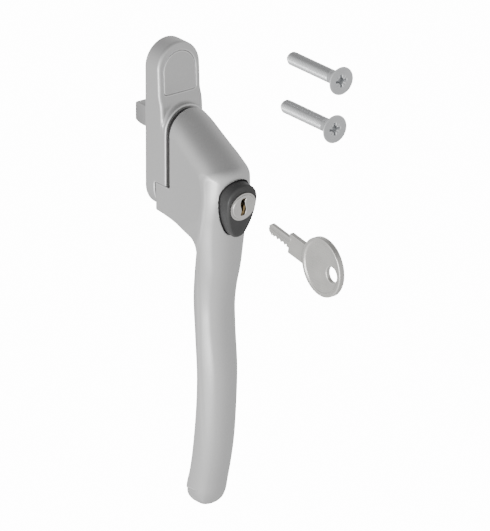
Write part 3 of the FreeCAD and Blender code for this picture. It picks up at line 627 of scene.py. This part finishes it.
def lever_head(x, f, z):
    """The lever's outside: a round crown, an arched front, side faces, heel, neck and round tip."""
    across = np.abs(x)
    top = line(f, columns(CROWN, 0, 1))
    wide = line(f, columns(CROWN, 0, 2))
    crown = np.hypot(x, np.maximum(z - (top - wide), 0)) - wide
    half = line(z, columns(FRONT, 0, 2)) - side_inset(f, z)
    side = both(crown, across - half, 0.3)
    arch = line(z, columns(FRONT, 0, 3))
    fallen = arch ** 2 - across ** 2
    bulge = arch - np.sqrt(np.maximum(fallen, 1.0))
    lean = np.hypot(1, np.minimum(across / np.sqrt(np.maximum(fallen, 10.0)), 1.8))
    front = (f - (line(z, columns(FRONT, 0, 1)) - bulge)) / lean
    shell = both(side, front, line(z, FRONT_EDGE))
    underside = line(f, UNDERSIDE) - z
    grip = (line(z, GRIP_REAR) - f) * GRIP_SLOPE
    rear = either(underside, grip, NECK_FILLET)
    shell = both(shell, rear, 0.9)
    shell = both(shell, HEEL_REAR - f, 0.5)
    clear = either(LEVER_REAR - f, -disc(x, z, HEEL_ARC), 0.4)
    shell = both(shell, clear, 0.2)
    above = z - TIP_CENTRE
    tip = np.where(above < 0, disc(x, above, TIP_RADIUS), -1.0 - above * 0.05)
    return both(shell, tip, 1.2)


def lever_field(x, f, z):
    """The lever with its hub, the spindle's socket and the lock's pocket and bores."""
    solid = lever_head(x, f, z)
    hub = np.maximum(disc(x, z, HUB_RADIUS), slab(f, HUB_REAR, LEVER_REAR + 1))
    solid = np.minimum(solid, hub)
    square = np.maximum(np.abs(x), np.abs(z)) - SOCKET_HALF_WIDTH
    solid = without(solid, np.maximum(square, slab(f, -1.0, SOCKET_FRONT)))
    rise, reach = to_lock(f, z)
    solid = without(solid, both(egg(x, rise) - BUTTON_GAP, POCKET_REAR - reach), 0.3)
    bore = np.maximum(disc(x, rise, BARREL_BORE), slab(reach, SPRING_REAR, 0.0))
    seat = np.maximum(disc(x, rise, BUSH_SEAT), slab(reach, BUSH_SEAT_REAR, SPRING_REAR + 0.1))
    return without(solid, np.minimum(bore, seat))


# ---- spindle ------------------------------------------------------------------------------


def spindle_field(x, f, z):
    """A square bar with softened corners that tapers to a blunt nose at the rear."""
    rear = SPINDLE_LOW[1]
    front = SPINDLE_HIGH[1]
    full = SPINDLE_HALF_WIDTH
    half = line(f, ((rear, full - 0.4), (rear + 0.6, full - 0.15), (rear + 1.2, full - 0.02), (0, full),
                    (front, full)))
    square = both(np.abs(x) - half, np.abs(z) - half, 0.6)
    return both(square, slab(f, rear, front), 0.6)


# ---- lock ---------------------------------------------------------------------------------


def button_field(x, rise, reach):
    """The button: an egg with a soft front edge and a bore for the lock's barrel."""
    face = BUTTON_FRONT - 0.006 * (x ** 2 + (rise + 2) ** 2 * 0.6)
    solid = both(egg(x, rise), reach - face, 0.9)
    solid = both(solid, BUTTON_REAR - reach, 0.3)
    return without(solid, disc(x, rise, BARREL_RADIUS), 0.12)


def s_line(rise, sway):
    """How far the middle of the keyway, or of the key's blade, swings to the side at each rise."""
    return -sway * np.sin(np.clip(rise / KEYWAY_HEIGHT, -1, 1) * math.pi)


def keyway(x, rise):
    """Distance to the S-shaped keyway."""
    across = np.abs(x - s_line(rise, KEYWAY_SWAY))
    return both(across - KEYWAY_HALF_WIDTH, np.abs(rise) - KEYWAY_HEIGHT, 0.5)


def plug_field(x, rise, reach):
    """The plug: a cylinder with a fine chamfer, a dished face and the keyway."""
    around = np.hypot(x, rise)
    dish = 0.1 * np.clip(PLUG_RADIUS - 0.6 - around, 0, 1)
    solid = both(around - PLUG_RADIUS, reach - PLUG_FRONT + dish, 0.25)
    solid = both(solid, PLUG_REAR - reach, 0.2)
    tail = np.maximum(around - PLUG_TAIL, slab(reach, PLUG_TAIL_REAR, PLUG_REAR + 1))
    solid = np.minimum(solid, tail)
    return without(solid, both(keyway(x, rise), KEYWAY_REAR - reach), 0.18)


# The key: reaches on the lock's axis, rises across it, and half-widths of its flat parts.
KEY_TIP = 20.0
KEY_TIP_LENGTH = 1.6
TIP_TOP = 0.7
BLADE_BOTTOM = -2.3
BLADE_HALF_WIDTH = 0.68
BLADE_SWAY = 0.3
GROOVE_RISE = 0.5
KEY_SHOULDER = 31.5
NOTCH_OFFSET = 1.8
NOTCH_END = KEY_SHOULDER - 1.6
NOTCH_PITCH = 2.0
NOTCH_DEPTH = 0.9
SHOULDER_HALF_HEIGHT = 3.8
SHOULDER_HALF_WIDTH = 0.85
BOW_CENTRE = 49.7
BOW_RADIUS = 10.48
BOW_RIM = 1.5
SHOULDER_END = BOW_CENTRE - BOW_RADIUS + 1.2
BOW_HALF_WIDTH = 1.1
DISH_HALF_WIDTH = 0.8
RING_HOLE = 2.8
RING_HOLE_OFFSET = 5.6


def key_field(x, rise, reach):
    """The key: a cut and grooved blade, a shoulder, and a bow with a raised rim and a ring hole."""
    across = np.abs(x)
    blade_across = np.abs(x - s_line(rise, BLADE_SWAY))
    tip = np.clip(reach - KEY_TIP, 0, KEY_TIP_LENGTH)
    missing = KEY_TIP_LENGTH - tip
    cuts = NOTCH_DEPTH * np.abs(((reach - KEY_TIP - NOTCH_OFFSET) / NOTCH_PITCH) % 1.0 - 0.5) * 2
    notched = (reach > KEY_TIP + NOTCH_OFFSET) & (reach < NOTCH_END)
    lower = BLADE_BOTTOM + np.where(notched, cuts, 0)
    blade = np.maximum(rise - (TIP_TOP + tip), lower + 0.6 * missing - rise)
    blade = np.maximum(blade, slab(reach, KEY_TIP, KEY_SHOULDER + 1))
    groove = both(np.abs(rise - GROOVE_RISE) - 0.45, 0.4 - blade_across, 0.1)
    blade = without(both(blade, blade_across - BLADE_HALF_WIDTH, 0.15), groove, 0.1)
    shoulder = both(np.abs(rise) - SHOULDER_HALF_HEIGHT, slab(reach, KEY_SHOULDER, SHOULDER_END), 0.1)
    flat = np.minimum(blade, both(shoulder, across - SHOULDER_HALF_WIDTH, 0.2))
    outline = disc(rise, reach, BOW_RADIUS, BOW_CENTRE)
    rim = both(outline, across - BOW_HALF_WIDTH, 0.35)
    dish = both(outline + BOW_RIM, DISH_HALF_WIDTH - across, 0.3)
    bow = without(rim, dish, 0.2)
    whole = either(flat, bow, 0.4)
    return without(whole, disc(rise, reach - BOW_CENTRE, RING_HOLE, RING_HOLE_OFFSET), 0.2)


# ---- screws -------------------------------------------------------------------------------

# A countersunk screw, and how much further back the lower one hangs.
SCREW_LENGTH = 28.0
SCREW_STAGGER = 3.4
HEAD_RADIUS = 4.95
HEAD_DEPTH = 3.4
THREAD_RADIUS = 2.45
THREAD_PITCH = 0.8
THREAD_DEPTH = 0.32
THREAD_START = 4.5
POINT_LENGTH = 1.5
POINT_INSET = 0.9
# The cross recess: its arms, the fine star between them, and the hole in the middle.
ARM_HALF_WIDTH = 0.5
ARM_LENGTH = 2.3
RECESS_DEPTH = 1.9
RECESS_TAPER = 0.28
STAR_HALF_WIDTH = 0.26
STAR_LENGTH = 2.2
STAR_DEPTH = 0.35
HOLE_RADIUS = 1.25
HOLE_DEPTH = 2.2


def screw_field(x, back, z):
    """A countersunk screw: back is the distance behind its head's face."""
    around = np.hypot(x, z)
    turn = np.arctan2(z, x) / (2 * math.pi)
    wave = np.abs((back / THREAD_PITCH + turn) % 1.0 - 0.5) * 2
    cut = THREAD_DEPTH * np.clip(wave * 1.25, 0, 1) * np.clip(back - THREAD_START, 0, 1)
    point = np.clip((back - (SCREW_LENGTH - POINT_LENGTH)) / POINT_LENGTH, 0, 1)
    thread = around - THREAD_RADIUS + cut + POINT_INSET * point
    shank = np.maximum(thread * 0.85, slab(back, 1.0, SCREW_LENGTH))
    cone = (around - (HEAD_RADIUS + 0.25 - back)) * DIAGONAL
    head = both(np.maximum(cone, around - HEAD_RADIUS), slab(back, 0.0, HEAD_DEPTH), 0.12)
    solid = either(shank, head, 0.5)
    narrow = np.minimum(np.abs(x), np.abs(z))
    wide = np.maximum(np.abs(x), np.abs(z))
    arms = np.maximum(narrow - ARM_HALF_WIDTH, wide - ARM_LENGTH)
    diagonal = (wide - narrow) * DIAGONAL
    star = np.maximum(np.maximum(diagonal - STAR_HALF_WIDTH, around - STAR_LENGTH), back - STAR_DEPTH)
    taper = RECESS_TAPER * back
    recess = np.maximum(np.minimum(arms, star) + taper, back - RECESS_DEPTH)
    recess = np.minimum(recess, np.maximum(around - HOLE_RADIUS + taper, back - HOLE_DEPTH))
    return without(solid, recess, 0.08)


def make_screws():
    """The two loose screws, each where the frame has it."""
    low, high = box_mm("fixing_screws")
    heights = (high[2] - HEAD_RADIUS, low[2] + HEAD_RADIUS)
    depths = (high[1], high[1] - SCREW_STAGGER)
    for number, (depth, height) in enumerate(zip(depths, heights), start=1):
        spot = np.array([0.0, depth, height])

        def place(points):
            shifted = points * np.array([1.0, -1.0, 1.0]) + spot
            return in_wall_frame(shifted)

        piece = skin(f"fixing_screw_{number}", screw_field, low=(-5, 0, -5), high=(5, SCREW_LENGTH, 5),
                     step=0.16, place=place)
        finish_piece(piece, "base", ZINC, "fixing_screws")


# ---- springs ------------------------------------------------------------------------------


def make_return_spring():
    """The spring behind the lock's barrel."""
    spring = coil("return_coil", radius=4.85, wire=0.28, pitch=1.8, low=SPRING_REAR, high=SPRING_FRONT,
                  place=in_lock_frame)
    finish_piece(spring, "lever", SPRING_STEEL, "return_spring")
    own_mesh(spring)


def make_detent_spring():
    """The spring above the detent ball."""
    low, high = box_mm("detent_spring")
    spot = np.array((0, (low[1] + high[1]) / 2, 0))

    def place(points):
        return in_wall_frame(points + spot)

    spring = coil("detent_coil", radius=1.1, wire=0.22, pitch=0.8, low=low[2], high=high[2], place=place)
    finish_piece(spring, "base", SPRING_STEEL, "detent_spring")
    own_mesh(spring)


# ---- assembly -----------------------------------------------------------------------------

finish_piece(skin("lever_casting", lever_field, LEVER_LOW, LEVER_HIGH, step=0.35),
             "lever", SATIN, "lever")
finish_piece(skin("base_casting", base_field, BASE_LOW, BASE_HIGH, step=0.3),
             "base", SATIN, "base_plate")
finish_piece(skin("cap_shell", cap_field, CAP_LOW, CAP_HIGH, step=0.2),
             "cap", CAP_PAINT, "screw_cap")
finish_piece(skin("spindle_bar", spindle_field, SPINDLE_LOW, SPINDLE_HIGH, step=0.25),
             "lever", SPINDLE_STEEL, "spindle")
finish_piece(skin("button_shell", button_field, low=(-6.5, -13, -5.5), high=(6.5, 8.5, 5), step=0.22,
                  place=in_lock_frame),
             "button", BUTTON_PLASTIC, "push_button")
finish_piece(skin("plug_body", plug_field, low=(-4.5, -4.5, -16.5), high=(4.5, 4.5, 5.2), step=0.16,
                  place=in_lock_frame),
             "cylinder", NICKEL, "lock_plug")
finish_piece(skin("key_body", key_field, low=(-1.1, -10.5, 20), high=(1.1, 10.5, 60.2), step=0.2,
                  place=in_lock_frame),
             "key", KEY_NICKEL, "key")
make_screws()
make_return_spring()
make_detent_spring()

CARRIED = {
    NICKEL: ("lock_barrel",),
    ZINC: ("thrust_washer", "barrel_screw", "lock_cam"),
    SPRING_STEEL: ("circlip", "spindle_pin", "wafer_springs", "plug_clip", "detent_ball"),
    BRASS: ("wafers", "plunger_bush", "locking_plunger"),
    NYLON: ("bearing_washer", "hub_sleeve"),
}
for material, names in CARRIED.items():
    for name in names:
        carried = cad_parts[name]
        carried.data.materials.clear()
        carried.data.materials.append(material)

# ---- studio -------------------------------------------------------------------------------

# Metres and degrees from here on.
FLOOR_HEIGHT = -0.2
FLOOR_REACH = 12.0
# How brightly the paper shines, so that it looks evenly white.
PAPER_GLOW = 14.0

CAMERA_TARGET = Vector((0, -44.2, -39.5)) * MM
CAMERA_AZIMUTH = 37.5
CAMERA_HEIGHT = 22.1
CAMERA_DISTANCE = 4.0
SENSOR = 36.0
VIEW_HEIGHT = 0.18
WHITE = (1, 1, 1, 1)


def direction(azimuth, height):
    """The unit vector that points at an azimuth, in degrees to the left of the front, and height."""
    around = math.radians(azimuth)
    up = math.radians(height)
    return Vector((-math.sin(around) * math.cos(up), -math.cos(around) * math.cos(up), math.sin(up)))


def make_floor():
    """A plain, evenly lit white floor that throws no light back up at the handle."""
    mesh = bpy.data.meshes.new("floor")
    signs = ((-1, -1), (1, -1), (1, 1), (-1, 1))
    corners = [(x * FLOOR_REACH, y * FLOOR_REACH, FLOOR_HEIGHT) for x, y in signs]
    mesh.from_pydata(corners, [], [(0, 1, 2, 3)])
    floor = add_object("floor", mesh)
    material, shader, place = new_material("floor_paper", metallic=0.0, roughness=0.9)
    paper = ramp(material, noise(material, place, scale=3), grey(0.9), grey(0.93))
    material.node_tree.links.new(paper, shader.inputs["Base Color"])
    shader.inputs["Emission Color"].default_value = WHITE
    shader.inputs["Emission Strength"].default_value = PAPER_GLOW
    floor.data.materials.append(material)
    floor.visible_diffuse = False
    floor.visible_glossy = False


def make_camera():
    """A long lens that takes in the whole set, from the front left and above."""
    towards = direction(CAMERA_AZIMUTH, CAMERA_HEIGHT)
    data = bpy.data.cameras.new("camera")
    data.sensor_width = SENSOR
    data.lens = SENSOR * CAMERA_DISTANCE / VIEW_HEIGHT
    data.clip_end = 40
    camera = add_object("camera", data)
    camera.location = CAMERA_TARGET + CAMERA_DISTANCE * towards
    camera.rotation_euler = (-towards).to_track_quat("-Z", "Y").to_euler()
    bpy.context.scene.camera = camera


def area_light(name, azimuth, height, distance, size, power):
    """A soft square light aimed at the handle."""
    data = bpy.data.lights.new(name, "AREA")
    data.shape = "SQUARE"
    data.size = size
    data.energy = power
    light = add_object(name, data)
    aim = direction(azimuth, height)
    light.location = CAMERA_TARGET + distance * aim
    light.rotation_euler = aim.to_track_quat("Z", "Y").to_euler()


def make_lights():
    """A soft light close by on the left, in air that glows from the left front and is dim above,
    as in a room of white paper. Seen directly, the air is as white as the floor."""
    area_light("left_light", azimuth=80, height=-5, distance=0.32, size=0.18, power=0.65)
    world = bpy.data.worlds.new("studio_air")
    world.use_nodes = True
    tree = world.node_tree
    nodes = tree.nodes
    links = tree.links
    place = nodes.new("ShaderNodeTexCoord").outputs["Generated"]
    split = nodes.new("ShaderNodeSeparateXYZ")
    links.new(place, split.inputs["Vector"])
    air = faded(tree, split.outputs["Z"], start=0.3, end=0.9, low=0.86, high=0.36)
    towards = nodes.new("ShaderNodeVectorMath")
    towards.operation = "DOT_PRODUCT"
    towards.inputs[1].default_value = direction(azimuth=66, height=-20)
    links.new(place, towards.inputs[0])
    glow = faded(tree, towards.outputs["Value"], start=0.0, end=1.0, low=0.0, high=0.55)
    strength = nodes.new("ShaderNodeMath")
    strength.operation = "ADD"
    links.new(air, strength.inputs[0])
    links.new(glow, strength.inputs[1])
    seen = nodes.new("ShaderNodeMath")
    seen.operation = "MULTIPLY_ADD"
    seen.inputs[1].default_value = PAPER_GLOW
    links.new(nodes.new("ShaderNodeLightPath").outputs["Is Camera Ray"], seen.inputs[0])
    links.new(strength.outputs["Value"], seen.inputs[2])
    links.new(seen.outputs["Value"], nodes["Background"].inputs["Strength"])
    nodes["Background"].inputs["Color"].default_value = WHITE
    bpy.context.scene.world = world


make_floor()
make_camera()
make_lights()
